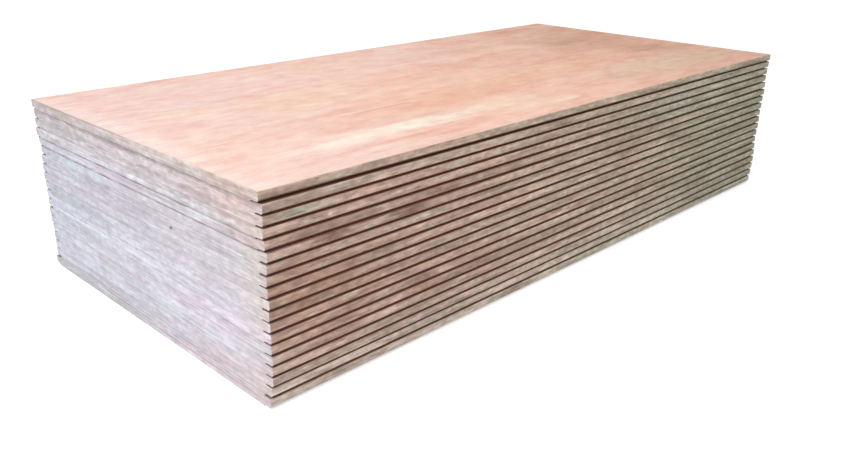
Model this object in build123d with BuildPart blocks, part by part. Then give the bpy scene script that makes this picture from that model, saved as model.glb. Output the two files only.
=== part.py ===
from build123d import *
from math import cos, radians, sin
import os

# Driving dimensions of one sheet, in millimetres
sheet_length = 2400.0
sheet_width = 1160.0
sheet_thickness = 28.0
rebate_depth = 28.0
rebate_height = 4.0
lip_bevel_depth = 7.0
lip_bevel_height = 4.0
arris = 1.0

# The pile: how far the worst laid sheet lies off, in millimetres and degrees
largest_slip = 10.0
largest_twist = 0.22

# How each sheet lies, the lowest first, as shares of the largest slip and twist
slip_along_shares = [
    -0.1, 0.3, 0.25, 0.2, 0.2, 0.05, 0.0, 0.05, 0.0, 0.05,
    -0.1, -0.1, 0.1, 0.25, 0.05, -0.35, -0.2, -0.15, -0.5,
]
slip_across_shares = [
    0.9, 0.7, 0.35, 0.2, 0.15, 0.15, 0.15, 0.1, 0.0, -0.1,
    -0.05, -0.15, -0.15, -0.35, -0.25, -0.3, -0.4, -0.5, -0.5,
]
twist_shares = [
    -0.65, -0.5, -0.15, -0.15, 0.2, 0.25, 0.6, 0.4, 0.15, 0.4,
    0.3, 0.1, 0.2, 0.15, -0.15, -0.05, 0.05, -0.1, -1.0,
]

os.makedirs("parts", exist_ok=True)

lays = zip(slip_along_shares, slip_across_shares, twist_shares)
for number, (along_share, across_share, twist_share) in enumerate(lays, start=1):

    # The plane of the sheet's cross-section, at the middle of its underside
    twist = radians(twist_share * largest_twist)
    middle = (
        along_share * largest_slip,
        across_share * largest_slip,
        (number - 1) * sheet_thickness,
    )
    section_plane = Plane(
        origin=middle,
        x_dir=(-sin(twist), cos(twist), 0),
        z_dir=(cos(twist), sin(twist), 0),
    )
    grain_axis = Axis(middle, section_plane.z_dir)

    with BuildPart() as sheet:

        # Section across the sheet: a slab with a rebate under each long edge
        with BuildSketch(section_plane) as section:
            Rectangle(sheet_width, sheet_thickness, align=(Align.CENTER, Align.MIN))
            with Locations((-sheet_width / 2, 0), (sheet_width / 2, 0)):
                Rectangle(2 * rebate_depth, 2 * rebate_height, mode=Mode.SUBTRACT)

            # Bevel that opens each rebate towards the long edge
            with Locations((-sheet_width / 2, rebate_height), (sheet_width / 2, rebate_height)):
                Polygon(
                    (-lip_bevel_depth, 0),
                    (lip_bevel_depth, 0),
                    (0, lip_bevel_height),
                    align=(Align.CENTER, Align.MIN),
                    mode=Mode.SUBTRACT,
                )

            # Arris on the two top corners
            chamfer(section.vertices().group_by(Axis.Y)[-1], arris)
        extrude(amount=sheet_length / 2, both=True)

        # Arris round the top and bottom of the two sawn short ends
        ends = sheet.faces().sort_by(grain_axis)
        for end in (ends[0], ends[-1]):
            crosswise = end.edges().filter_by(GeomType.LINE).group_by(Axis.Z)
            chamfer(crosswise[0] + crosswise[-1], arris)

    sheet.part.label = f"sheet_{number:02d}"
    export_step(sheet.part, f"parts/sheet_{number:02d}.step")
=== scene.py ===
import math

import bpy
import numpy as np
from mathutils import Matrix, Vector


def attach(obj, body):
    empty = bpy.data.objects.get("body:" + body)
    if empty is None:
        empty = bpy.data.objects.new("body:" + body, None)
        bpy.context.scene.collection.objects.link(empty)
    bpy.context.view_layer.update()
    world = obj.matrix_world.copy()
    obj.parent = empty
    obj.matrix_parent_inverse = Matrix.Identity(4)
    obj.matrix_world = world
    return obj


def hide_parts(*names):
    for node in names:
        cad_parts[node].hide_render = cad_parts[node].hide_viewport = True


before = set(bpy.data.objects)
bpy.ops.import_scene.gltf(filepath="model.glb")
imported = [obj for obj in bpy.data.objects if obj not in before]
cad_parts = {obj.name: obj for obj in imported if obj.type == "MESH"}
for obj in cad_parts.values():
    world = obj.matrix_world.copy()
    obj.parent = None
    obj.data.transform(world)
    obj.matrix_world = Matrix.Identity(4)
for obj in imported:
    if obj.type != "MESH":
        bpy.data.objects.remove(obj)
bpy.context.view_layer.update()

# Sizes of one sheet that the frame doesn't name, in metres
REBATE_DEPTH = 0.028
REBATE_HEIGHT = 0.004
BEVEL_DEPTH = 0.007
BEVEL_HEIGHT = 0.004
ARRIS = 0.001

# Plies, and the cells that the edges are cut into
PLIES = 21
PLIES_IN_REBATE = 3
PLIES_IN_BEVEL = 3
CELLS_ALONG = 216
CELLS_ACROSS = 104
CELLS_AT_CORNER = 3
CELLS_UNDER_LIP = 2

# How the saw, the stacking and the handling left the edges, in metres
HAIRLINE = 0.0001
SAW_WAVER = 0.0004
PLY_STEP = 0.0003
CHIP_DEPTH = 0.0035
GAP_DEPTH = 0.005
BLUNT_CORNER = 0.0006

# Core gaps: the level of the noise that opens them, and where they lie as shares of the thickness
GAP_LEVEL = 0.84
LOWEST_GAP, HIGHEST_GAP = 0.38, 0.88

# How near a face a point counts as on it, how near two points are one, and how far a seed shifts a noise
ON_FACE = 0.0002
WELD = 0.00002
SEED_STRIDES = (7.31, 3.17)

# The map that a finish is baked through, in pixels, and the metres that a pixel spans along an edge,
# up an edge, over the face and over the underside: of a covered sheet, of the lowest and of the top one
MAP_SIZE = 1024
MAP_GAP = 6
ALONG_PIXEL = 0.0012
COVERED_PIXELS = (0.00030, 0.0049, 0.0049)
LOWEST_PIXELS = (0.00038, 0.0200, 0.00275)
TOP_PIXELS = (0.00038, 0.00275, 0.0200)

# The share of their size that sheltered faces keep on the map, and how squarely a wall looks sideways
SHELTERED_SHARE = 0.33
FACING = 0.9

# What the finishes are laid out by: sizes in metres, the top sheet's number and a noise's usual swing
THICKNESS = 0.028
HALF_LENGTH = 1.2
HALF_WIDTH = 0.58
TOP_SHEET = len(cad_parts)
SWING = (0.3, 0.7)

# Gloss of the dry wood, strength of its fine relief, and depth of that relief on a face and on a cut
SPECULAR = 0.25
RELIEF_STRENGTH = 0.8
FACE_RELIEF = 0.00015
CUT_RELIEF = 0.0002

# The camera that the photograph was taken with: metres, degrees and millimetres
CAMERA_PLACE = (-2.1173, -1.9677, 1.0945)
CAMERA_HEADING = 44.348
CAMERA_PITCH = 21.375
CAMERA_ROLL = 0.558
CAMERA_LENS = 35.08

# Light and floor, in metres and watts, and as strengths of which 1 shows white
KEY_PLACE = (-3.9, -0.9, 4.2)
KEY_AIM = (0.0, 0.0, 0.3)
KEY_SIZE = 3.5
KEY_POWER = 175.0
WORLD_STRENGTH = 0.55
FLOOR_GLOW = 0.55
FLOOR_REACH = 12.0


def srgb(red, green, blue):
    """A linear colour from the 0 to 255 numbers of a paint chart."""
    def linear(value):
        share = value / 255
        return share / 12.92 if share <= 0.04045 else ((share + 0.055) / 1.055) ** 2.4
    return (linear(red), linear(green), linear(blue), 1.0)


def add(tree, kind, inputs=None, **settings):
    """Adds a node. Inputs are values or sockets, keyed by the name or number of the socket."""
    node = tree.nodes.new(kind)
    for name, value in settings.items():
        setattr(node, name, value)
    for key, value in (inputs or {}).items():
        if isinstance(value, bpy.types.NodeSocket):
            tree.links.new(value, node.inputs[key])
        else:
            node.inputs[key].default_value = value
    return node


def calc(tree, operation, *values, clamp=False):
    """A Math node's result from one, two or three values or sockets."""
    inputs = dict(enumerate(values))
    return add(tree, "ShaderNodeMath", inputs, operation=operation, use_clamp=clamp).outputs[0]


def times(tree, first, *others):
    """The product of two or more values or sockets."""
    for other in others:
        first = calc(tree, "MULTIPLY", first, other)
    return first


def vector(tree, x=0.0, y=0.0, z=0.0):
    """A vector from three values or sockets."""
    return add(tree, "ShaderNodeCombineXYZ", {0: x, 1: y, 2: z}).outputs[0]


def from_sheet(tree, number, first):
    """1 on one sheet and on those over it, and 0 on those below."""
    return calc(tree, "GREATER_THAN", number, first - 0.5)


def split(tree, place):
    """The three numbers of a place."""
    return add(tree, "ShaderNodeSeparateXYZ", {0: place}).outputs


def ramp(tree, value, low, high, to_low=0.0, to_high=1.0):
    """Value, carried smoothly from low..high to to_low..to_high, and held outside."""
    inputs = {"Value": value, "From Min": low, "From Max": high, "To Min": to_low, "To Max": to_high}
    return add(tree, "ShaderNodeMapRange", inputs, interpolation_type="SMOOTHSTEP").outputs["Result"]


def noise(tree, place, scale=1.0, detail=2.0, roughness=0.5):
    """Noise from 0 to 1 at a place that is already stretched."""
    inputs = {"Vector": place, "Scale": scale, "Detail": detail, "Roughness": roughness}
    return add(tree, "ShaderNodeTexNoise", inputs).outputs["Fac"]


def scaled(tree, place, stretch, shift=(0.0, 0.0, 0.0)):
    """A place multiplied by a stretch along each axis, then shifted."""
    inputs = {0: place, 1: stretch, 2: shift}
    return add(tree, "ShaderNodeVectorMath", inputs, operation="MULTIPLY_ADD").outputs[0]


# The geometry tree of one sheet

SURFACES = ("Veneer", "Long Edge", "Short End", "Rebate")
SIZE_INPUTS = (
    "Length", "Width", "Thickness", "Rebate Depth", "Rebate Height", "Bevel Depth", "Bevel Height",
    "Arris", "Hairline", "Saw Waver", "Ply Step", "Chip Depth", "Gap Depth", "Blunt Corner", "Twist",
)


def sheet_tree():
    """One rebated sheet: patches of cells on every face, core gaps, saw marks and chips."""
    tree = bpy.data.node_groups.new("rebated plywood sheet", "GeometryNodeTree")
    tree.interface.new_socket("Geometry", in_out="OUTPUT", socket_type="NodeSocketGeometry")
    for name in SIZE_INPUTS:
        tree.interface.new_socket(name, in_out="INPUT", socket_type="NodeSocketFloat")
    tree.interface.new_socket("Middle", in_out="INPUT", socket_type="NodeSocketVector")
    tree.interface.new_socket("Seed", in_out="INPUT", socket_type="NodeSocketInt")
    for name in SURFACES:
        tree.interface.new_socket(name, in_out="INPUT", socket_type="NodeSocketMaterial")
    size = add(tree, "NodeGroupInput").outputs

    # Places that the patches share
    length, width, thick = size["Length"], size["Width"], size["Thickness"]
    depth, height = size["Rebate Depth"], size["Rebate Height"]
    bevel, mouth = size["Bevel Depth"], calc(tree, "ADD", height, size["Bevel Height"])
    half_length = times(tree, length, 0.5)
    half_width = times(tree, width, 0.5)
    inner_length = calc(tree, "MULTIPLY_ADD", depth, -2.0, length)
    inner_width = calc(tree, "MULTIPLY_ADD", depth, -2.0, width)
    lip = calc(tree, "SUBTRACT", thick, mouth)
    lip_middle = calc(tree, "MULTIPLY_ADD", lip, 0.5, mouth)
    end = calc(tree, "SUBTRACT", thick, height)
    end_middle = calc(tree, "MULTIPLY_ADD", end, 0.5, height)
    low_middle = times(tree, height, 0.5)
    front = times(tree, half_width, -1.0)
    rebate_wall = calc(tree, "ADD", front, depth)
    left = times(tree, half_length, -1.0)
    left_middle = calc(tree, "MULTIPLY_ADD", depth, 0.5, left)
    lip_plies = PLIES - PLIES_IN_REBATE - PLIES_IN_BEVEL

    # The two strips beside a long edge, over the bevel and the rest of the rebate: width, cells, middle
    flat = calc(tree, "SUBTRACT", depth, bevel)
    strips = (
        (bevel, PLIES_IN_BEVEL, calc(tree, "MULTIPLY_ADD", bevel, 0.5, front)),
        (flat, CELLS_UNDER_LIP, calc(tree, "MULTIPLY_ADD", flat, -0.5, rebate_wall)),
    )

    groups = {name: add(tree, "GeometryNodeJoinGeometry") for name in SURFACES}

    def patch(surface, sizes, cells, turn, place):
        grid = add(tree, "GeometryNodeMeshGrid", {
            "Size X": sizes[0], "Size Y": sizes[1],
            "Vertices X": cells[0] + 1, "Vertices Y": cells[1] + 1,
        })
        placed = add(tree, "GeometryNodeTransform", {
            "Geometry": grid.outputs["Mesh"],
            "Translation": vector(tree, *place),
            "Rotation": tuple(math.radians(angle) for angle in turn),
        })
        tree.links.new(placed.outputs[0], groups[surface].inputs[0])

    # The front long side, in its two corner lengths and the run between them
    facing_front, facing_down, facing_up = (90, 0, 0), (180, 0, 0), (0, 0, 0)
    right_middle = times(tree, left_middle, -1.0)
    runs = (
        (depth, CELLS_AT_CORNER, left_middle),
        (inner_length, CELLS_ALONG, 0.0),
        (depth, CELLS_AT_CORNER, right_middle),
    )
    for run, cells, x in runs:
        patch("Long Edge", (run, lip), (cells, lip_plies), facing_front, (x, front, lip_middle))
        patch("Rebate", (run, height), (cells, PLIES_IN_REBATE), facing_front, (x, rebate_wall, low_middle))
        for strip, rows, y in strips:
            patch("Rebate", (run, strip), (cells, rows), facing_down, (x, y, height))
            patch("Veneer", (run, strip), (cells, rows), facing_up, (x, y, thick))

    # The left short end, with the notch of a rebate at each side
    facing_left = (90, 0, -90)
    end_plies = PLIES - PLIES_IN_REBATE
    for rise, plies, z in ((end, end_plies, end_middle), (height, PLIES_IN_REBATE, low_middle)):
        patch("Short End", (inner_width, rise), (CELLS_ACROSS, plies), facing_left, (left, 0.0, z))
    for strip, columns, y in strips:
        for middle in (y, times(tree, y, -1.0)):
            patch("Short End", (strip, end), (columns, end_plies), facing_left, (left, middle, end_middle))
    for turn, z in ((facing_up, thick), (facing_down, 0.0)):
        patch("Veneer", (depth, inner_width), (CELLS_AT_CORNER, CELLS_ACROSS), turn, (left_middle, 0.0, z))

    # Each patch keeps the number of its surface, and the back and the right side are this half turned
    halves = add(tree, "GeometryNodeJoinGeometry")
    for number, name in enumerate(SURFACES):
        marked = add(tree, "GeometryNodeStoreNamedAttribute", {
            "Geometry": groups[name].outputs[0], "Name": "surface", "Value": number,
        }, data_type="INT", domain="FACE")
        tree.links.new(marked.outputs[0], halves.inputs[0])

    # The bevel lifts whatever lies under it, so that the rebate opens towards the long edge
    here = add(tree, "GeometryNodeInputPosition").outputs[0]
    xyz = split(tree, here)
    from_side = calc(tree, "SUBTRACT", half_width, calc(tree, "ABSOLUTE", xyz[1]))
    slope = calc(tree, "DIVIDE", size["Bevel Height"], bevel)
    bevel_line = calc(tree, "SUBTRACT", mouth, times(tree, from_side, slope))
    lift = calc(tree, "MAXIMUM", calc(tree, "SUBTRACT", bevel_line, xyz[2]), 0.0)
    half = add(tree, "GeometryNodeSetPosition", {
        "Geometry": halves.outputs[0], "Offset": vector(tree, z=lift),
    })
    turned = add(tree, "GeometryNodeTransform", {
        "Geometry": half.outputs[0], "Rotation": (0.0, 0.0, math.pi),
    })

    # The middles of the top and of the underside are one face each
    outline = add(tree, "GeometryNodeCurvePrimitiveQuadrilateral", {
        "Width": inner_length, "Height": inner_width,
    })
    side = calc(tree, "MODULO", add(tree, "GeometryNodeInputIndex").outputs[0], 2.0)
    cuts = add(tree, "ShaderNodeMapRange", {
        "Value": side, "To Min": CELLS_ALONG - 1, "To Max": CELLS_ACROSS - 1,
    }).outputs["Result"]
    fine = add(tree, "GeometryNodeSubdivideCurve", {"Curve": outline.outputs[0], "Cuts": cuts})
    middle = add(tree, "GeometryNodeFillCurve", {"Curve": fine.outputs[0]}, mode="NGONS")
    top = add(tree, "GeometryNodeTransform", {
        "Geometry": middle.outputs[0], "Translation": vector(tree, z=thick),
    })
    underside = add(tree, "GeometryNodeFlipFaces", {"Mesh": middle.outputs[0]})

    shell = add(tree, "GeometryNodeJoinGeometry")
    for part in (half, turned, top, underside):
        tree.links.new(part.outputs[0], shell.inputs[0])
    closed = add(tree, "GeometryNodeMergeByDistance", {"Geometry": shell.outputs[0], "Distance": WELD})

    # Place, seeded so that no two sheets are alike
    seed_shift = vector(tree, *(times(tree, size["Seed"], stride) for stride in SEED_STRIDES))
    seeded = add(tree, "ShaderNodeVectorMath", {0: here, 1: seed_shift}, operation="ADD").outputs[0]

    def seeded_noise(along, up, detail):
        return noise(tree, scaled(tree, seeded, (along, along, up)), detail=detail)

    # Core gaps: short runs of a ply left open on the sawn edges, which are the surfaces 1 and 2
    surface = add(tree, "GeometryNodeInputNamedAttribute", {"Name": "surface"}, data_type="INT").outputs[0]
    edge_face = calc(tree, "COMPARE", surface, 1.5, 0.6)
    open_here = calc(tree, "GREATER_THAN", seeded_noise(16.0, 900.0, 0.0), GAP_LEVEL)
    below = calc(tree, "LESS_THAN", xyz[2], times(tree, thick, HIGHEST_GAP))
    above = calc(tree, "GREATER_THAN", xyz[2], times(tree, thick, LOWEST_GAP))
    gaps = add(tree, "GeometryNodeExtrudeMesh", {
        "Mesh": closed.outputs[0],
        "Selection": times(tree, edge_face, open_here, below, above),
        "Offset Scale": times(tree, size["Gap Depth"], -1.0),
        "Individual": False,
    })

    # How far each point of the edge lies back from the saw line
    end_line = calc(tree, "SUBTRACT", half_length, ON_FACE)
    side_line = calc(tree, "SUBTRACT", half_width, ON_FACE)
    on_end = calc(tree, "GREATER_THAN", calc(tree, "ABSOLUTE", xyz[0]), end_line)
    on_long = calc(tree, "GREATER_THAN", calc(tree, "ABSOLUTE", xyz[1]), side_line)
    over_rebate = calc(tree, "LESS_THAN", from_side, calc(tree, "SUBTRACT", depth, ON_FACE))
    foot = calc(tree, "MAXIMUM", times(tree, over_rebate, height), bevel_line)
    from_top = calc(tree, "SUBTRACT", thick, xyz[2])
    from_arris = calc(tree, "MINIMUM", from_top, calc(tree, "SUBTRACT", xyz[2], foot))
    at_arris = ramp(tree, from_arris, 0.0, 0.0012, 1.0, 0.0)
    near_arris = ramp(tree, from_arris, 0.0, 0.0045, 1.0, 0.0)
    waver, ply_step = seeded_noise(2.5, 20.0, 1.0), seeded_noise(9.0, 760.0, 1.0)
    wear = seeded_noise(14.0, 40.0, 3.0)
    chip = ramp(tree, seeded_noise(30.0, 60.0, 2.0), 0.66, 0.80)
    chipped = times(tree, chip, near_arris)
    worn_arris = times(tree, at_arris, ramp(tree, wear, *SWING, 0.5, 1.6))
    worn_corner = times(tree, on_end, on_long, ramp(tree, wear, *SWING, 0.4, 1.5))
    back = times(tree, waver, size["Saw Waver"])
    back = calc(tree, "MULTIPLY_ADD", ply_step, size["Ply Step"], back)
    back = calc(tree, "MULTIPLY_ADD", worn_arris, size["Arris"], back)
    back = calc(tree, "MULTIPLY_ADD", chipped, size["Chip Depth"], back)
    back = calc(tree, "MULTIPLY_ADD", worn_corner, size["Blunt Corner"], back)
    back_x = times(tree, on_end, back, calc(tree, "SIGN", xyz[0]))
    back_y = times(tree, on_long, back, calc(tree, "SIGN", xyz[1]))

    # Chipped edges are also lower, and the underside clears the sheet below by a hairline
    on_edge = calc(tree, "MAXIMUM", on_end, on_long)
    on_top = calc(tree, "GREATER_THAN", xyz[2], calc(tree, "SUBTRACT", thick, ON_FACE))
    on_foot = calc(tree, "LESS_THAN", xyz[2], ON_FACE)
    lowered = times(tree, chip, on_top, on_edge, 0.25)
    raised = times(tree, on_foot, size["Hairline"], -1.0)
    drop = calc(tree, "MULTIPLY_ADD", lowered, size["Chip Depth"], raised)
    inwards = {0: vector(tree, back_x, back_y, drop), "Scale": -1.0}
    worn = add(tree, "GeometryNodeSetPosition", {
        "Geometry": gaps.outputs["Mesh"],
        "Offset": add(tree, "ShaderNodeVectorMath", inwards, operation="SCALE").outputs[0],
    })

    counted = add(tree, "GeometryNodeStoreNamedAttribute", {
        "Geometry": worn.outputs[0], "Name": "sheet", "Value": size["Seed"],
    }, data_type="FLOAT", domain="FACE")
    mapped = add(tree, "GeometryNodeStoreNamedAttribute", {
        "Geometry": counted.outputs[0], "Name": "on sheet", "Value": here,
    }, data_type="FLOAT_VECTOR", domain="POINT")
    laid = add(tree, "GeometryNodeTransform", {
        "Geometry": mapped.outputs[0], "Translation": size["Middle"],
        "Rotation": vector(tree, z=size["Twist"]),
    })
    faceted = add(tree, "GeometryNodeSetShadeSmooth", {"Geometry": laid.outputs[0], "Shade Smooth": False})
    finished = add(tree, "GeometryNodeRealizeInstances", {"Geometry": faceted.outputs[0]})
    for number, name in enumerate(SURFACES):
        chosen = calc(tree, "COMPARE", surface, float(number), 0.4)
        finished = add(tree, "GeometryNodeSetMaterial", {
            "Geometry": finished.outputs[0], "Selection": chosen, "Material": size[name],
        })
    add(tree, "NodeGroupOutput", {"Geometry": finished.outputs[0]})
    return tree


def socket_ids(tree):
    """The identifier of each input of a tree, by its name."""
    return {item.name: item.identifier for item in tree.interface.items_tree if item.in_out == "INPUT"}


def lay_of(solid):
    """Length, width, thickness, middle of the underside and twist of a sheet, read from its solid."""
    low = min(v.co.z for v in solid.data.vertices)
    high = max(v.co.z for v in solid.data.vertices)
    corners = {tuple(round(c, 6) for c in v.co) for v in solid.data.vertices if v.co.z > high - ARRIS / 2}
    front_left, front_right = sorted(sorted(corners, key=lambda c: c[1])[:2])
    back_left, back_right = sorted(sorted(corners, key=lambda c: c[1])[-2:])
    along = Vector(front_right) - Vector(front_left)
    across = Vector(back_left) - Vector(front_left)
    middle = (Vector(front_left) + Vector(back_right)) / 2
    return {
        "Length": along.length + 2 * ARRIS, "Width": across.length + 2 * ARRIS, "Thickness": high - low,
        "Middle": Vector((middle.x, middle.y, low)), "Twist": math.atan2(along.y, along.x),
    }


def read(items, name, width=1, kind=np.float32):
    """One property of all items of a mesh, as an array."""
    values = np.empty(len(items) * width, kind)
    items.foreach_get(name, values)
    return values.reshape(-1, width) if width > 1 else values


def lay_out(mesh, half_width, pixels):
    """Lays the sheet out flat for the bake: its edges in fine rows, its face and its underside over them."""
    up_pixel, face_pixel, underside_pixel = pixels
    totals = read(mesh.polygons, "loop_total", kind=np.int32)
    corners = read(mesh.loops, "vertex_index", kind=np.int32)
    place = read(mesh.attributes["on sheet"].data, "vector", 3)[corners]
    middle = np.add.reduceat(place, read(mesh.polygons, "loop_start", kind=np.int32)) / totals[:, None]
    middle = np.repeat(middle, totals, axis=0)
    surface = np.repeat(read(mesh.polygons, "material_index", kind=np.int32), totals)
    facing = np.repeat(read(mesh.polygons, "normal", 3), totals, axis=0)
    veneer, long_edge, short_end, rebate = (surface == number for number in range(len(SURFACES)))

    # The section beside a long edge unrolled: lip, bevel, underside of the lip and wall of the rebate
    x, y, z = place.T
    inward = half_width - np.abs(y)
    sheltered = np.maximum(inward - BEVEL_DEPTH, 0.0)
    sheltered += (REBATE_HEIGHT - z) * (rebate & (np.abs(facing[:, 1]) > FACING))
    under_lip = -np.minimum(inward, BEVEL_DEPTH) - sheltered * SHELTERED_SHARE
    unrolled = np.where(long_edge, z - REBATE_HEIGHT - BEVEL_HEIGHT, under_lip)
    spots = np.zeros((len(x), 2))

    def lay(here, across, up, pixel, corner):
        spots[here, 0] = corner[0] + (across[here] - across[here].min()) / pixel[0]
        spots[here, 1] = corner[1] + (up[here] - up[here].min()) / pixel[1]
        return spots[here].max(axis=0) + MAP_GAP

    row = MAP_GAP
    for side in (-1, 1):
        for half in (-1, 1):
            here = (long_edge | rebate) & (side * middle[:, 1] > 0) & (half * middle[:, 0] > 0)
            row = lay(here, -side * x, unrolled, (ALONG_PIXEL, up_pixel), (MAP_GAP, row))[1]
    for end in (-1, 1):
        here = short_end & (end * middle[:, 0] > 0)
        row = lay(here, end * y, z, (ALONG_PIXEL, up_pixel), (MAP_GAP, row))[1]
    column = lay(veneer & (facing[:, 2] > 0), x, y, (face_pixel, face_pixel), (MAP_GAP, row))[0]
    lay(veneer & (facing[:, 2] < 0), -x, y, (underside_pixel, underside_pixel), (column, row))
    mesh.uv_layers.new(name="OFBake").data.foreach_set("uv", (spots / MAP_SIZE).astype(np.float32).ravel())


def make_sheet(number, name, tree, materials):
    """A finished sheet in place of the solid of that name."""
    values = lay_of(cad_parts[name])
    values.update({
        "Rebate Depth": REBATE_DEPTH, "Rebate Height": REBATE_HEIGHT,
        "Bevel Depth": BEVEL_DEPTH, "Bevel Height": BEVEL_HEIGHT, "Arris": ARRIS,
        "Hairline": HAIRLINE if number > 1 else 0.0, "Saw Waver": SAW_WAVER, "Ply Step": PLY_STEP,
        "Chip Depth": CHIP_DEPTH, "Gap Depth": GAP_DEPTH, "Blunt Corner": BLUNT_CORNER, "Seed": number,
    })
    values.update(materials)
    seed_mesh = bpy.data.meshes.new("blank")
    blank = bpy.data.objects.new("blank", seed_mesh)
    bpy.context.scene.collection.objects.link(blank)
    modifier = blank.modifiers.new("sheet", "NODES")
    modifier.node_group = tree
    for key, identifier in socket_ids(tree).items():
        modifier[identifier] = values[key]
    evaluated = blank.evaluated_get(bpy.context.evaluated_depsgraph_get())
    mesh = bpy.data.meshes.new_from_object(evaluated)
    blank.modifiers.remove(modifier)
    bpy.data.objects.remove(blank)
    bpy.data.meshes.remove(seed_mesh)
    mesh.materials.pop(index=0)
    lay_out(mesh, values["Width"] / 2, {1: LOWEST_PIXELS, TOP_SHEET: TOP_PIXELS}.get(number, COVERED_PIXELS))
    mesh.name = f"plywood_{name}"
    sheet = bpy.data.objects.new(f"plywood_{name}", mesh)
    bpy.context.scene.collection.objects.link(sheet)
    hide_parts(name)
    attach(sheet, "root")
    return sheet


# Finishes

def mix(tree, share, first, second, blend="MIX"):
    """Two colours mixed by a share."""
    inputs = {0: share, 6: first, 7: second}
    return add(tree, "ShaderNodeMix", inputs, data_type="RGBA", blend_type=blend).outputs[2]


def shader_group(name, inputs, outputs):
    """An empty shader group with named inputs and outputs: its tree, what comes in, what goes out."""
    tree = bpy.data.node_groups.new(name, "ShaderNodeTree")
    for label, kind in inputs.items():
        tree.interface.new_socket(label, in_out="INPUT", socket_type=kind)
    for label in outputs:
        tree.interface.new_socket(label, in_out="OUTPUT", socket_type="NodeSocketFloat")
    return tree, add(tree, "NodeGroupInput").outputs, add(tree, "NodeGroupOutput").inputs


def put_out(tree, out, results):
    """Leads a group's results to its outputs, and gives back its tree."""
    for label, value in results.items():
        tree.links.new(value, out[label])
    return tree


def use(tree, group, inputs):
    """A group's outputs, used in a material."""
    return add(tree, "ShaderNodeGroup", inputs, node_tree=group).outputs


def wood_figure():
    """Bands, streaks, fibres and pores of a peeled veneer whose grain runs along X."""
    tree, given, out = shader_group("wood figure", {
        "Place": "NodeSocketVector", "Seed": "NodeSocketFloat", "Band Length": "NodeSocketFloat",
        "Band Width": "NodeSocketFloat", "Wander": "NodeSocketFloat",
    }, ("Bands", "Streaks", "Fibres", "Pores", "Height"))
    x, y = split(tree, given["Place"])[:2]
    seed = given["Seed"]
    drift = noise(tree, vector(tree, times(tree, x, 0.9), times(tree, y, 3.0), seed))
    y = calc(tree, "MULTIPLY_ADD", calc(tree, "SUBTRACT", drift, 0.5), given["Wander"], y)

    def drawn(length, width, shift, detail):
        place = vector(tree, calc(tree, "DIVIDE", x, length), calc(tree, "DIVIDE", y, width),
                       calc(tree, "ADD", seed, shift))
        return noise(tree, place, detail=detail)

    length, width = given["Band Length"], given["Band Width"]
    bands = drawn(length, width, 0.0, 3.0)
    streaks = drawn(times(tree, length, 0.35), times(tree, width, 0.2), 4.0, 3.0)
    fibres = drawn(0.11, 0.0017, 8.0, 2.0)
    pores = ramp(tree, drawn(0.008, 0.0008, 12.0, 1.0), 0.66, 0.76)
    height = calc(tree, "SUBTRACT", times(tree, fibres, 0.5), pores)
    return put_out(tree, out, {"Bands": bands, "Streaks": streaks, "Fibres": fibres, "Pores": pores,
                               "Height": height})


def sawn_plies():
    """The plies as the saw shows them: tone of each, glue lines, and crosswise and lengthwise grain."""
    tree, given, out = shader_group("sawn plies", {
        "Along": "NodeSocketFloat", "Up": "NodeSocketFloat", "Seed": "NodeSocketFloat",
        "Ply": "NodeSocketFloat",
    }, ("Tone", "Run", "Glue Line", "Cross Grain", "Texture", "Height"))
    along, up, seed = given["Along"], given["Up"], given["Seed"]
    count = calc(tree, "DIVIDE", up, given["Ply"])
    layer = calc(tree, "FLOOR", count)
    part = calc(tree, "FRACT", count)
    to_line = calc(tree, "MINIMUM", part, calc(tree, "SUBTRACT", 1.0, part))
    glue = ramp(tree, to_line, 0.04, 0.15, 1.0, 0.0)
    cross = calc(tree, "MODULO", layer, 2.0)

    def grain(across, rise, stretch):
        across, rise = times(tree, along, across), times(tree, rise, stretch)
        return noise(tree, vector(tree, across, rise, seed))

    tone, run = grain(1.6, layer, 1.71), grain(1.1, up, 150.0)
    pricks, strands = grain(900.0, up, 900.0), grain(22.0, up, 3200.0)
    inputs = {"Value": cross, "To Min": strands, "To Max": pricks}
    texture = add(tree, "ShaderNodeMapRange", inputs).outputs["Result"]
    height = calc(tree, "SUBTRACT", calc(tree, "MULTIPLY_ADD", tone, 0.6, texture), glue)
    return put_out(tree, out, {"Tone": tone, "Run": run, "Glue Line": glue, "Cross Grain": cross,
                               "Texture": texture, "Height": height})


def handling_marks():
    """Stains, scuffs and pale rubbed patches that run along the edge of a sheet."""
    tree, given, out = shader_group("handling marks", {
        "Along": "NodeSocketFloat", "Up": "NodeSocketFloat", "Seed": "NodeSocketFloat",
    }, ("Stain", "Rubbed", "Mottle"))

    def spread(length, height, shift, detail):
        along, up = calc(tree, "DIVIDE", given["Along"], length), calc(tree, "DIVIDE", given["Up"], height)
        place = vector(tree, along, up, calc(tree, "ADD", given["Seed"], shift))
        return noise(tree, place, detail=detail)

    stain = ramp(tree, spread(0.14, 0.024, 3.0, 4.0), 0.50, 0.68)
    rubbed = ramp(tree, spread(0.08, 0.014, 9.0, 4.0), 0.54, 0.72)
    mottle = spread(0.026, 0.011, 15.0, 5.0)
    return put_out(tree, out, {"Stain": stain, "Rubbed": rubbed, "Mottle": mottle})


# Seams that hold more dirt than the rest, and under overhanging sheets a painted shadow, by the number of the
# sheet over them, and how much more
SHADED_AND_DIRTY_SEAMS = ((19, 0.15), (16, 0.4), (15, 0.3), (14, 0.15), (9, 0.1), (7, 0.1), (2, 0.15))


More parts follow.
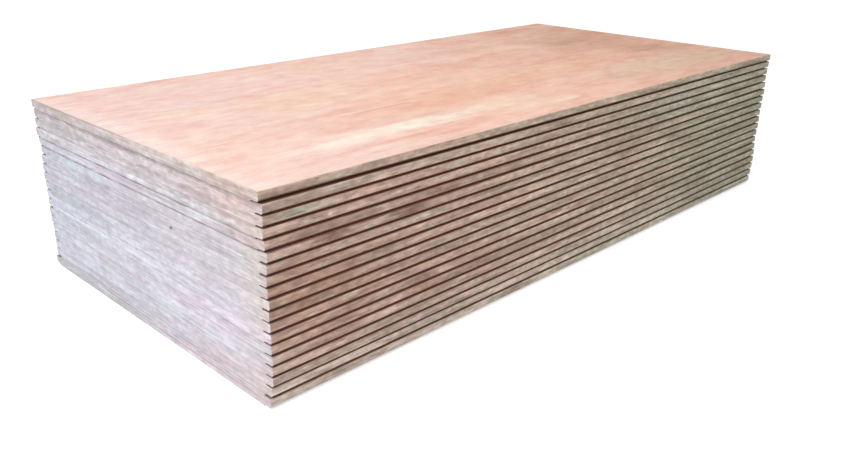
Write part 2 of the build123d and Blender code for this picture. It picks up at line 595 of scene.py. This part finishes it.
def seam_grime_and_shade():
    """Dirt and painted shade drawn into the seams between the sheets, more in some seams than in others."""
    tree, given, out = shader_group("seam grime and shade", {
        "Along": "NodeSocketFloat", "Height On Sheet": "NodeSocketFloat", "Sheet": "NodeSocketFloat",
        "Reach": "NodeSocketFloat",
    }, ("Grime And Shade",))
    height = given["Height On Sheet"]
    upper = calc(tree, "GREATER_THAN", height, THICKNESS / 2)
    seam = calc(tree, "ADD", given["Sheet"], upper)
    to_seam = calc(tree, "MINIMUM", height, calc(tree, "SUBTRACT", THICKNESS, height))
    chance = add(tree, "ShaderNodeTexWhiteNoise", {"W": seam}, noise_dimensions="1D").outputs["Value"]
    share = ramp(tree, chance, 0.2, 1.0, 0.0, 0.15)
    for darker_seam, more in SHADED_AND_DIRTY_SEAMS:
        share = calc(tree, "MULTIPLY_ADD", calc(tree, "COMPARE", seam, float(darker_seam), 0.1), more, share)
    reach = times(tree, given["Reach"], calc(tree, "MULTIPLY_ADD", share, 2.0, 0.8))
    line = ramp(tree, calc(tree, "DIVIDE", to_seam, reach), 0.3, 1.0, 1.0, 0.0)
    broken = noise(tree, vector(tree, times(tree, given["Along"], 16.0), seam), detail=4.0)
    share = times(tree, share, ramp(tree, broken, 0.35, 0.65, 0.2, 1.6))
    return put_out(tree, out, {"Grime And Shade": calc(tree, "MULTIPLY", line, share, clamp=True)})


FIGURE, PLY_LINES, MARKS, GRIME_AND_SHADE = wood_figure(), sawn_plies(), handling_marks(), seam_grime_and_shade()
PLY = THICKNESS / PLIES


def material(name):
    """A new material: itself, its tree, its shader, and its places in the pile and on the sheet."""
    made = bpy.data.materials.new(name)
    made.use_nodes = True
    tree = made.node_tree
    shader = tree.nodes["Principled BSDF"]
    shader.inputs["Specular IOR Level"].default_value = SPECULAR
    place = add(tree, "ShaderNodeTexCoord").outputs["Object"]
    on_sheet = add(tree, "ShaderNodeAttribute", attribute_name="on sheet").outputs["Vector"]
    number = add(tree, "ShaderNodeAttribute", attribute_name="sheet").outputs["Fac"]
    return made, tree, shader, place, on_sheet, number


def shade(tree, colour, *layers):
    """A colour made lighter and darker by noises, each with its amount, and with its mean kept."""
    for value, amount in layers:
        factor = ramp(tree, value, *SWING, 1.0 - amount, 1.0 + amount)
        colour = mix(tree, 1.0, colour, factor, blend="MULTIPLY")
    return colour


def over(tree, colour, *layers):
    """A colour with others laid over it, each with its mask, strength and tint."""
    for mask, strength, tint in layers:
        colour = mix(tree, times(tree, mask, strength), colour, srgb(*tint))
    return colour


def three_tones(tree, to_middle, to_right, left, middle, right):
    """A colour that goes from one tone to a second, and from there to a third."""
    return mix(tree, to_right, mix(tree, to_middle, srgb(*left), srgb(*middle)), srgb(*right))


def edge_noise(tree, along, up, seed, stretch, detail, roughness=0.5):
    """Noise over a sawn edge, stretched along it and up it, and of its own for each seed."""
    place = scaled(tree, vector(tree, along, up, seed), (*stretch, 1.0))
    return noise(tree, place, detail=detail, roughness=roughness)


def finish(tree, shader, colour, roughness, height, depth):
    """Colour, roughness and fine relief, led to the shader."""
    bump = add(tree, "ShaderNodeBump", {"Height": height, "Distance": depth, "Strength": RELIEF_STRENGTH})
    tree.links.new(colour, shader.inputs["Base Color"])
    tree.links.new(roughness, shader.inputs["Roughness"])
    tree.links.new(bump.outputs[0], shader.inputs["Normal"])


def patch_mask(tree, across, up, ragged, middle, reach):
    """A ragged patch on a flat face: 1 inside it, 0 outside."""
    stretch = (1 / reach[0], 1 / reach[1], 0.0)
    shift = (-middle[0] / reach[0], -middle[1] / reach[1], 0.0)
    inside = scaled(tree, vector(tree, across, up), stretch, shift)
    distance = add(tree, "ShaderNodeVectorMath", {0: inside}, operation="LENGTH").outputs["Value"]
    return ramp(tree, calc(tree, "MULTIPLY_ADD", ragged, 1.6, distance), 1.0, 2.3, 1.0, 0.0)


def marked(tree, colour, across, up, ragged, marks, where=1.0):
    """A colour with ragged patches over it, each with its middle, reach, colour and strength."""
    for middle, reach, tint, strength in marks:
        inside = patch_mask(tree, across, up, ragged, middle, reach)
        colour = over(tree, colour, (inside, times(tree, where, strength), tint))
    return colour


def tinted(tree, colour, value, low, high, share, tint):
    """A colour multiplied by a tint where a noise rises from low to high."""
    return mix(tree, ramp(tree, value, low, high, 0.0, share), colour, tint, blend="MULTIPLY")


def toned(tree, colour, value, band, share, above, below):
    """A colour multiplied by one tint where a noise is high, and by another where it is low."""
    inner, outer = band
    colour = tinted(tree, colour, value, 0.5 + inner, 0.5 + outer, share, above)
    return tinted(tree, colour, value, 0.5 - inner, 0.5 - outer, share, below)


def edge_effects(tree, along, up, height, number, stride, reach):
    """What a sawn edge is made up of: its seed, plies, handling marks, and seam grime with painted shade."""
    seed = times(tree, number, stride)
    plies = use(tree, PLY_LINES, {"Along": along, "Up": up, "Seed": seed, "Ply": PLY})
    marks = use(tree, MARKS, {"Along": along, "Up": up, "Seed": seed})
    grime_and_shade = use(tree, GRIME_AND_SHADE, {"Along": along, "Height On Sheet": height, "Sheet": number, "Reach": reach})
    return seed, plies, marks, grime_and_shade["Grime And Shade"]


PALER, REDDER = (1.03, 1.12, 1.13, 1.0), (0.95, 0.85, 0.85, 1.0)

# What the top sheet's face shows, by X and Y: middle, reach, colour and strength
FACE_MARKS = (
    ((-0.82, 0.22), (0.34, 0.300), (240, 206, 203), 0.40),  # pale rose
    ((-0.15, 0.38), (0.60, 0.220), (253, 222, 214), 0.55),
    ((-0.45, 0.10), (0.14, 0.170), (253, 222, 207), 0.45),
    ((0.30, -0.20), (0.50, 0.110), (245, 195, 157), 0.45),
    ((-1.08, -0.30), (0.17, 0.260), (247, 210, 190), 0.45),
    ((-0.66, 0.05), (0.20, 0.140), (250, 212, 184), 0.55),
    ((-0.98, 0.10), (0.10, 0.060), (248, 222, 190), 0.50),
    ((-0.20, 0.42), (0.22, 0.100), (250, 208, 184), 0.45),
    ((0.22, 0.30), (0.24, 0.060), (232, 176, 150), 0.40),
    ((-0.24, -0.245), (0.36, 0.085), (243, 190, 161), 0.75),  # orange heartwood
    ((0.05, 0.06), (0.36, 0.050), (239, 192, 168), 0.40),
    ((-0.72, -0.170), (0.30, 0.022), (237, 184, 166), 0.50),
    ((-0.76, -0.270), (0.20, 0.060), (243, 194, 172), 0.45),
    ((-0.62, -0.405), (0.29, 0.045), (254, 239, 220), 0.90),  # sapwood
    ((-0.15, -0.420), (0.30, 0.035), (250, 226, 200), 0.50),
    ((-0.06, -0.503), (0.10, 0.014), (253, 234, 210), 0.60),
    ((-0.72, -0.487), (0.19, 0.012), (228, 168, 146), 0.60),  # red streaks
    ((-0.57, -0.200), (0.17, 0.006), (252, 228, 206), 0.60),
    ((-0.52, -0.212), (0.10, 0.004), (204, 148, 126), 0.50),
    ((0.34, -0.085), (0.20, 0.018), (232, 178, 154), 0.50),
    ((0.39, -0.410), (0.09, 0.045), (224, 176, 153), 0.50),
    ((0.95, 0.12), (0.28, 0.300), (211, 160, 131), 0.50),  # brown heartwood
    ((1.05, -0.24), (0.16, 0.100), (212, 168, 144), 0.45),
    ((0.86, 0.130), (0.14, 0.045), (198, 152, 122), 0.50),
    ((0.94, -0.180), (0.13, 0.045), (203, 156, 130), 0.50),
    ((0.92, -0.090), (0.09, 0.018), (216, 182, 140), 0.50),
    ((0.80, -0.410), (0.42, 0.120), (229, 200, 172), 0.60),
    ((-1.18, 0.00), (0.035, 0.600), (246, 230, 226), 0.50),
)


def slot_shade_tone(tree, x, y, near, far):
    """The painted shade in a slot: brown to olive along the side, and brown to grey across the left end."""
    side = mix(tree, ramp(tree, x, -0.6, 0.7), srgb(*near), srgb(*far))
    end = mix(tree, ramp(tree, y, -0.3, 0.3), srgb(136, 106, 90), srgb(126, 120, 122))
    return mix(tree, ramp(tree, x, -1.12, -1.18, 0.0, 0.85), side, end)


def face_veneer():
    """Rose to orange veneer, softly mottled along the sheet and pale at its worn border, with painted light
    by the ends and painted shade under the rebates of covered sheets.
    """
    made, tree, shader, place, on_sheet, number = material("face veneer")
    figure = use(tree, FIGURE, {"Place": place, "Seed": times(tree, number, 3.7),
                                "Band Length": 0.24, "Band Width": 0.090, "Wander": 0.08})
    mottle = use(tree, FIGURE, {"Place": place, "Seed": times(tree, number, 2.3),
                                "Band Length": 0.075, "Band Width": 0.034, "Wander": 0.05})
    x, y = split(tree, place)[:2]
    colour = three_tones(tree, ramp(tree, x, -1.1, -0.2), ramp(tree, x, 0.15, 1.2),
                         (244, 211, 199), (249, 203, 182), (236, 188, 166))
    colour = toned(tree, colour, figure["Bands"], (0.0, 0.2), 0.75, PALER, REDDER)
    heart = noise(tree, scaled(tree, place, (5.0, 11.0, 1.0)), detail=3.0)
    to_heart = ramp(tree, x, 0.1, 0.8)
    colour = toned(tree, colour, heart, (0.0, 0.14), to_heart,
                   (0.94, 0.89, 0.83, 1.0), (1.03, 1.06, 1.08, 1.0))

    # The top sheet's own figure
    top = from_sheet(tree, number, TOP_SHEET)
    ragged = noise(tree, scaled(tree, place, (7.0, 24.0, 1.0)), detail=5.0, roughness=0.65)
    colour = marked(tree, colour, x, y, ragged, FACE_MARKS, top)

    # Soft mottle, short red streaks, fibres and pores
    colour = toned(tree, colour, mottle["Bands"], (0.0, 0.2), 0.75, PALER, REDDER)
    colour = tinted(tree, colour, figure["Streaks"], 0.56, 0.72, 0.6, REDDER)
    colour = tinted(tree, colour, mottle["Streaks"], 0.54, 0.72, 0.5, REDDER)
    cloudy = noise(tree, scaled(tree, place, (30.0, 42.0, 1.0)), detail=4.0, roughness=0.6)
    colour = shade(tree, colour, (cloudy, 0.035), (figure["Fibres"], 0.05))
    colour = over(tree, colour, (figure["Pores"], 0.3, (160, 104, 82)))

    # Rubbed pale near the saw line, painted light that lifts the shade on covered sheets by the ends, and
    # painted shade where the next sheet's rebate lies over it
    u, v = split(tree, on_sheet)[:2]
    to_end = calc(tree, "SUBTRACT", HALF_LENGTH, calc(tree, "ABSOLUTE", u))
    to_side = calc(tree, "SUBTRACT", HALF_WIDTH, calc(tree, "ABSOLUTE", v))
    covered = calc(tree, "SUBTRACT", 1.0, top)
    rubbed = ramp(tree, calc(tree, "MINIMUM", to_end, to_side), 0.002, 0.008, 0.5, 0.0)
    colour = mix(tree, rubbed, colour, srgb(226, 210, 194))
    colour = over(tree, colour, (ramp(tree, to_end, 0.010, 0.016, 0.9, 0.0), covered, (222, 218, 224)))
    # Painted shade on the covered ledge inside each slot
    ledge = times(tree, ramp(tree, to_side, 0.026, 0.031, 0.85, 0.0), covered)
    painted_slot_shade = slot_shade_tone(tree, x, y, (166, 112, 84), (150, 138, 112))
    # Darker still on the sheet under the top one: the painted shadow of the top sheet's overhang
    painted_slot_shade = mix(tree, from_sheet(tree, number, TOP_SHEET - 1), painted_slot_shade, srgb(104, 62, 44))
    colour = mix(tree, ledge, colour, painted_slot_shade)
    roughness = ramp(tree, figure["Bands"], *SWING, 0.72, 0.6)
    finish(tree, shader, colour, roughness, figure["Height"], FACE_RELIEF)
    return made


# What the front long side shows, by X and Z
SIDE_MARKS = (
    ((-1.12, 0.262), (0.24, 0.105), (186, 148, 126), 0.70),  # browned sheets by the near corner
    ((-1.005, 0.522), (0.024, 0.008), (218, 216, 196), 0.80),  # pale flecks
    ((-1.10, 0.466), (0.085, 0.012), (224, 220, 202), 0.85),
    ((-1.12, 0.462), (0.035, 0.003), (150, 136, 118), 0.70),
    ((-1.022, 0.437), (0.007, 0.005), (236, 230, 220), 0.90),
    ((-0.615, 0.467), (0.035, 0.008), (214, 210, 190), 0.70),
    ((-0.465, 0.465), (0.045, 0.009), (210, 206, 186), 0.60),
    ((-0.92, 0.372), (0.050, 0.010), (208, 196, 176), 0.60),
    ((-1.06, 0.438), (0.025, 0.005), (146, 104, 88), 0.60),  # knots and stains
    ((-1.02, 0.385), (0.055, 0.014), (158, 114, 98), 0.55),
    ((-0.80, 0.380), (0.070, 0.014), (172, 130, 106), 0.55),
    ((-0.74, 0.175), (0.060, 0.030), (168, 122, 106), 0.50),
    ((0.22, 0.350), (0.120, 0.050), (156, 132, 112), 0.50),
    ((0.62, 0.450), (0.400, 0.060), (204, 204, 188), 0.50),  # grey-green weathering
    ((0.85, 0.250), (0.300, 0.150), (188, 186, 164), 0.45),
)


def long_edge():
    """The sawn long edge: tan plies, pinkish at the left and grey-green at the right, stained and flecked,
    with painted shade at the lower arris by the slot.
    """
    made, tree, shader, place, on_sheet, number = material("long edge")
    x, y, z = split(tree, place)
    height = split(tree, on_sheet)[2]
    seed, plies, marks, grime_and_shade = edge_effects(tree, x, z, height, number, 5.3, 0.001)
    to_middle, to_right = ramp(tree, x, -1.1, 0.1), ramp(tree, x, 0.1, 1.2)
    colour = three_tones(tree, to_middle, to_right, (217, 188, 173), (215, 196, 177), (188, 184, 163))
    low = three_tones(tree, to_middle, to_right, (225, 208, 196), (231, 218, 202), (200, 198, 180))
    colour = mix(tree, ramp(tree, z, 0.17, 0.03, 0.0, 0.95), colour, low)
    sheet_tone = noise(tree, vector(tree, times(tree, x, 0.6), seed), detail=0.0)
    colour = tinted(tree, colour, sheet_tone, 0.52, 0.72, 0.9, (0.98, 0.92, 0.90, 1.0))
    weathered = ramp(tree, x, -0.9, 0.2, 0.3, 0.9)
    colour = tinted(tree, colour, sheet_tone, 0.48, 0.28, weathered, (0.95, 1.01, 0.97, 1.0))
    sheet_light = noise(tree, vector(tree, times(tree, x, 1.6), seed, 5.0), detail=3.0)
    colour = shade(tree, colour, (sheet_light, 0.15))
    ragged = edge_noise(tree, x, z, seed, (18.0, 70.0), 5.0, 0.65)
    colour = marked(tree, colour, x, z, ragged, SIDE_MARKS, calc(tree, "LESS_THAN", y, 0.0))
    colour = tinted(tree, colour, marks["Stain"], 0.0, 1.0, 0.6, (0.74, 0.64, 0.62, 1.0))
    top = from_sheet(tree, number, TOP_SHEET)
    face_ply = three_tones(tree, to_middle, to_right, (221, 190, 169), (229, 201, 176), (214, 194, 170))
    face_side = times(tree, top, ramp(tree, height, 0.012, 0.022, 0.1, 0.7))
    colour = mix(tree, face_side, colour, face_ply)
    pale = mix(tree, to_right, srgb(228, 218, 202), srgb(210, 210, 194))
    colour = mix(tree, times(tree, marks["Rubbed"], 0.55), colour, pale)
    blots = edge_noise(tree, x, z, seed, (5.0, 48.0), 5.0, 0.62)
    colour = shade(tree, colour, (blots, 0.24), (marks["Mottle"], 0.20), (plies["Run"], 0.08),
                   (plies["Tone"], 0.08), (plies["Texture"], 0.07))
    colour = over(tree, colour, (plies["Cross Grain"], 0.08, (150, 118, 98)),
                  (plies["Glue Line"], 0.22, (120, 92, 74)))
    # Dirt and painted shade along the seams
    colour = mix(tree, grime_and_shade, colour, srgb(96, 62, 48))

    # The lower arris is darkened with painted shade that widens the slot under the lip, more on some sheets
    # than on others, to the right and on the top sheet
    mouth = REBATE_HEIGHT + BEVEL_HEIGHT
    shaded_to = calc(tree, "MULTIPLY_ADD", ramp(tree, x, -0.6, 0.8), 0.0008, mouth + 0.0012)
    shaded_to = calc(tree, "MULTIPLY_ADD", top, 0.0016, shaded_to)
    some = add(tree, "ShaderNodeTexWhiteNoise", {"W": number}, noise_dimensions="1D").outputs["Value"]
    shaded_to = calc(tree, "MULTIPLY_ADD", calc(tree, "SUBTRACT", some, 0.5), 0.0016, shaded_to)
    arris = ramp(tree, height, mouth + 0.0002, shaded_to, 0.85, 0.0)
    # The colour of that painted shade: brown at the left, olive at the right
    stain = mix(tree, ramp(tree, x, -0.6, 0.7), srgb(96, 66, 52), srgb(96, 88, 70))
    colour = mix(tree, arris, colour, stain)
    roughness = ramp(tree, marks["Mottle"], *SWING, 0.75, 0.9)
    finish(tree, shader, colour, roughness, plies["Height"], CUT_RELIEF)
    return made


# What the left short end shows, by Y and Z
END_MARKS = (
    ((0.05, 0.155), (0.80, 0.100), (232, 236, 250), 0.45),  # bluish white, the cool light's tint painted in
    ((0.36, 0.360), (0.14, 0.030), (206, 222, 228), 0.45),
    ((-0.30, 0.409), (0.055, 0.009), (240, 244, 254), 0.80),
    ((-0.485, 0.352), (0.018, 0.011), (242, 242, 242), 0.80),
    ((-0.50, 0.470), (0.13, 0.040), (224, 203, 199), 0.50),  # rose and mauve plies
    ((-0.50, 0.402), (0.10, 0.012), (192, 166, 166), 0.60),
    ((-0.31, 0.161), (0.17, 0.030), (228, 206, 222), 0.45),
    ((-0.42, 0.050), (0.20, 0.030), (222, 198, 203), 0.50),
    ((-0.28, 0.014), (0.24, 0.018), (222, 200, 208), 0.50),
    ((0.30, 0.014), (0.34, 0.018), (194, 190, 188), 0.60),  # dirt on the lowest sheet, and dirt with painted shadow under the overhanging top one
    # A band of dirt and the painted shadow of the top sheet's overhang
    ((0.00, 0.4995), (0.75, 0.007), (150, 132, 128), 0.50),
    ((-0.50, 0.517), (0.09, 0.012), (200, 172, 158), 0.45),
    ((-0.50, 0.482), (0.10, 0.009), (206, 182, 170), 0.45),
    ((0.36, 0.524), (0.20, 0.008), (182, 172, 158), 0.50),  # olive blotches under the face
    ((-0.28, 0.519), (0.060, 0.008), (178, 168, 146), 0.60),
    ((-0.40, 0.525), (0.040, 0.007), (182, 170, 146), 0.60),
    ((-0.49, 0.526), (0.030, 0.007), (186, 172, 150), 0.60),
    ((-0.23, 0.419), (0.035, 0.004), (150, 144, 148), 0.60),  # a smudge and a speck of dirt
    ((-0.182, 0.338), (0.007, 0.004), (72, 62, 60), 0.90),
)


def short_end():
    """The sawn short end: pale plies with the bluish to lilac tint of cool light painted in, fine grey lines,
    warmer by the near corner.
    """
    made, tree, shader, place, on_sheet, number = material("short end")
    x, y, z = split(tree, place)
    height = split(tree, on_sheet)[2]
    seed, plies, marks, grime_and_shade = edge_effects(tree, y, z, height, number, 4.1, 0.0026)
    # Pale plies with the cool tint of the light on this end painted into the colour
    colour = mix(tree, ramp(tree, y, 0.5, -0.4), srgb(206, 207, 218), srgb(217, 210, 218))
    colour = mix(tree, ramp(tree, z, 0.40, 0.50, 0.0, 0.85), colour, srgb(212, 197, 197))
    colour = over(
        tree, colour,
        (ramp(tree, z, 0.36, 0.50), ramp(tree, y, 0.1, 0.5, 0.0, 0.5), (202, 194, 197)),
        (ramp(tree, z, 0.38, 0.47), ramp(tree, y, -0.25, -0.5, 0.0, 0.9), (207, 187, 181)),
    )
    sheet_tone = noise(tree, vector(tree, times(tree, y, 1.2), seed), detail=0.0)
    colour = toned(tree, colour, sheet_tone, (0.02, 0.22), 0.9,
                   (1.0, 0.94, 0.96, 1.0), (0.96, 1.01, 1.0, 1.0))
    sheet_light = noise(tree, vector(tree, times(tree, y, 2.5), seed, 5.0), detail=2.0)
    colour = shade(tree, colour, (sheet_light, 0.08))
    corner_tone = mix(tree, ramp(tree, sheet_tone, 0.35, 0.6), srgb(224, 210, 198), srgb(218, 196, 191))
    colour = mix(tree, ramp(tree, y, -0.42, -0.585, 0.0, 0.7), colour, corner_tone)
    ragged = edge_noise(tree, y, z, 0.0, (20.0, 70.0), 5.0, 0.65)
    top = from_sheet(tree, number, TOP_SHEET)
    blotchy = edge_noise(tree, y, z, 0.0, (14.0, 40.0), 2.0)
    face_side = ramp(tree, calc(tree, "MULTIPLY_ADD", blotchy, 0.014, height), 0.018, 0.032, 0.1, 0.75)
    face_ply = mix(tree, ramp(tree, y, 0.56, -0.3), srgb(188, 178, 172), srgb(216, 194, 184))
    colour = mix(tree, times(tree, top, face_side), colour, face_ply)
    colour = marked(tree, colour, y, z, ragged, END_MARKS, calc(tree, "LESS_THAN", x, 0.0))

    # Blotches of white and of mauve, then the plies themselves
    clouds = edge_noise(tree, y, z, seed, (5.0, 16.0), 3.0, 0.6)
    colour = shade(tree, colour, (clouds, 0.07))
    blots = edge_noise(tree, y, z, seed, (13.0, 56.0), 5.0, 0.6)
    colour = mix(tree, ramp(tree, blots, 0.54, 0.74, 0.0, 0.75), colour, srgb(234, 235, 239))
    colour = mix(tree, ramp(tree, blots, 0.46, 0.28, 0.0, 0.65), colour, srgb(190, 178, 188))
    upper = ramp(tree, z, 0.34, 0.44)
    specks = edge_noise(tree, y, z, seed, (17.0, 70.0), 4.0, 0.6)
    colour = over(
        tree, colour,
        (upper, ramp(tree, specks, 0.50, 0.68, 0.0, 0.55), (176, 162, 160)),
        (upper, ramp(tree, specks, 0.48, 0.30, 0.0, 0.55), (236, 228, 226)),
        (marks["Stain"], 0.5, (198, 184, 190)),
        (marks["Rubbed"], 0.35, (232, 234, 240)),
    )
    colour = shade(tree, colour, (marks["Mottle"], 0.11), (plies["Run"], 0.09), (plies["Tone"], 0.10),
                   (plies["Texture"], 0.06))
    colour = over(tree, colour, (plies["Glue Line"], 0.2, (140, 126, 128)))
    # Dirt and painted shade along the seams
    colour = mix(tree, grime_and_shade, colour, srgb(104, 90, 86))
    roughness = ramp(tree, marks["Mottle"], *SWING, 0.75, 0.9)
    finish(tree, shader, colour, roughness, plies["Height"], CUT_RELIEF)
    return made


def rebate_cut():
    """The milled rebate: red-brown, darkened as painted shade of the slot, with cutter marks along it."""
    made, tree, shader, place, _, number = material("milled rebate")
    x, y = split(tree, place)[:2]
    figure = use(tree, FIGURE, {"Place": place, "Seed": times(tree, number, 2.9),
                                "Band Length": 0.3, "Band Width": 0.01, "Wander": 0.01})
    # The rebate's colour is the painted shade of its slot
    colour = slot_shade_tone(tree, x, y, (162, 108, 80), (152, 138, 112))
    colour = shade(tree, colour, (figure["Bands"], 0.2), (figure["Fibres"], 0.15))
    roughness = ramp(tree, figure["Bands"], *SWING, 0.8, 0.92)
    finish(tree, shader, colour, roughness, figure["Height"], CUT_RELIEF)
    return made


materials = dict(zip(SURFACES, (face_veneer(), long_edge(), short_end(), rebate_cut())))

tree = sheet_tree()
for number, name in enumerate(sorted(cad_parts), start=1):
    make_sheet(number, name, tree, materials)


# Floor, light and camera

def to_camera(tree):
    """1 for what the camera sees, straight or through gloss and glass, and 0 for what lights the pile."""
    path = add(tree, "ShaderNodeLightPath").outputs
    return calc(tree, "MAXIMUM", path["Is Camera Ray"],
                calc(tree, "MAXIMUM", path["Is Glossy Ray"], path["Is Transmission Ray"]))


def plain_floor():
    """A pale floor that shows white to the camera and keeps the pile's shadow."""
    mesh = bpy.data.meshes.new("floor")
    corners = [(FLOOR_REACH * x, FLOOR_REACH * y, 0.0) for x, y in ((-1, -1), (1, -1), (1, 1), (-1, 1))]
    mesh.from_pydata(corners, [], [(0, 1, 2, 3)])
    floor = bpy.data.objects.new("floor", mesh)
    bpy.context.scene.collection.objects.link(floor)
    made = bpy.data.materials.new("floor")
    made.use_nodes = True
    tree = made.node_tree
    shader = tree.nodes["Principled BSDF"]
    shader.inputs["Base Color"].default_value = (0.8, 0.8, 0.8, 1.0)
    shader.inputs["Roughness"].default_value = 0.9
    glow = add(tree, "ShaderNodeEmission", {"Strength": times(tree, to_camera(tree), FLOOR_GLOW)})
    both = add(tree, "ShaderNodeAddShader", {0: shader.outputs[0], 1: glow.outputs[0]})
    output = tree.nodes["Material Output"]
    tree.links.new(both.outputs[0], output.inputs["Surface"])
    mesh.materials.append(made)


def soft_world(strength):
    """Even light from all round, and white behind the pile."""
    world = bpy.data.worlds.new("studio")
    bpy.context.scene.world = world
    world.use_nodes = True
    tree = world.node_tree
    inputs = {"Value": to_camera(tree), "To Min": strength, "To Max": 1.0}
    level = add(tree, "ShaderNodeMapRange", inputs).outputs["Result"]
    sky = tree.nodes["Background"]
    sky.inputs["Color"].default_value = (1.0, 1.0, 1.0, 1.0)
    tree.links.new(level, sky.inputs["Strength"])


def area_lamp(name, place, aim, size, power):
    """A square soft lamp at a place, turned to a point."""
    lamp = bpy.data.lights.new(name, "AREA")
    lamp.size = size
    lamp.energy = power
    holder = bpy.data.objects.new(name, lamp)
    bpy.context.scene.collection.objects.link(holder)
    holder.location = place
    holder.rotation_euler = (Vector(aim) - Vector(place)).to_track_quat("-Z", "Y").to_euler()


def camera():
    """The photograph's camera."""
    lens = bpy.data.cameras.new("camera")
    lens.lens = CAMERA_LENS
    holder = bpy.data.objects.new("camera", lens)
    bpy.context.scene.collection.objects.link(holder)
    turn = (
        Matrix.Rotation(math.radians(CAMERA_HEADING - 90), 4, "Z")
        @ Matrix.Rotation(math.radians(90 - CAMERA_PITCH), 4, "X")
        @ Matrix.Rotation(math.radians(CAMERA_ROLL), 4, "Z")
    )
    holder.matrix_world = Matrix.Translation(CAMERA_PLACE) @ turn
    bpy.context.scene.camera = holder


plain_floor()
soft_world(WORLD_STRENGTH)
area_lamp("key", KEY_PLACE, KEY_AIM, KEY_SIZE, KEY_POWER)
camera()
bpy.context.scene.view_settings.view_transform = "Standard"
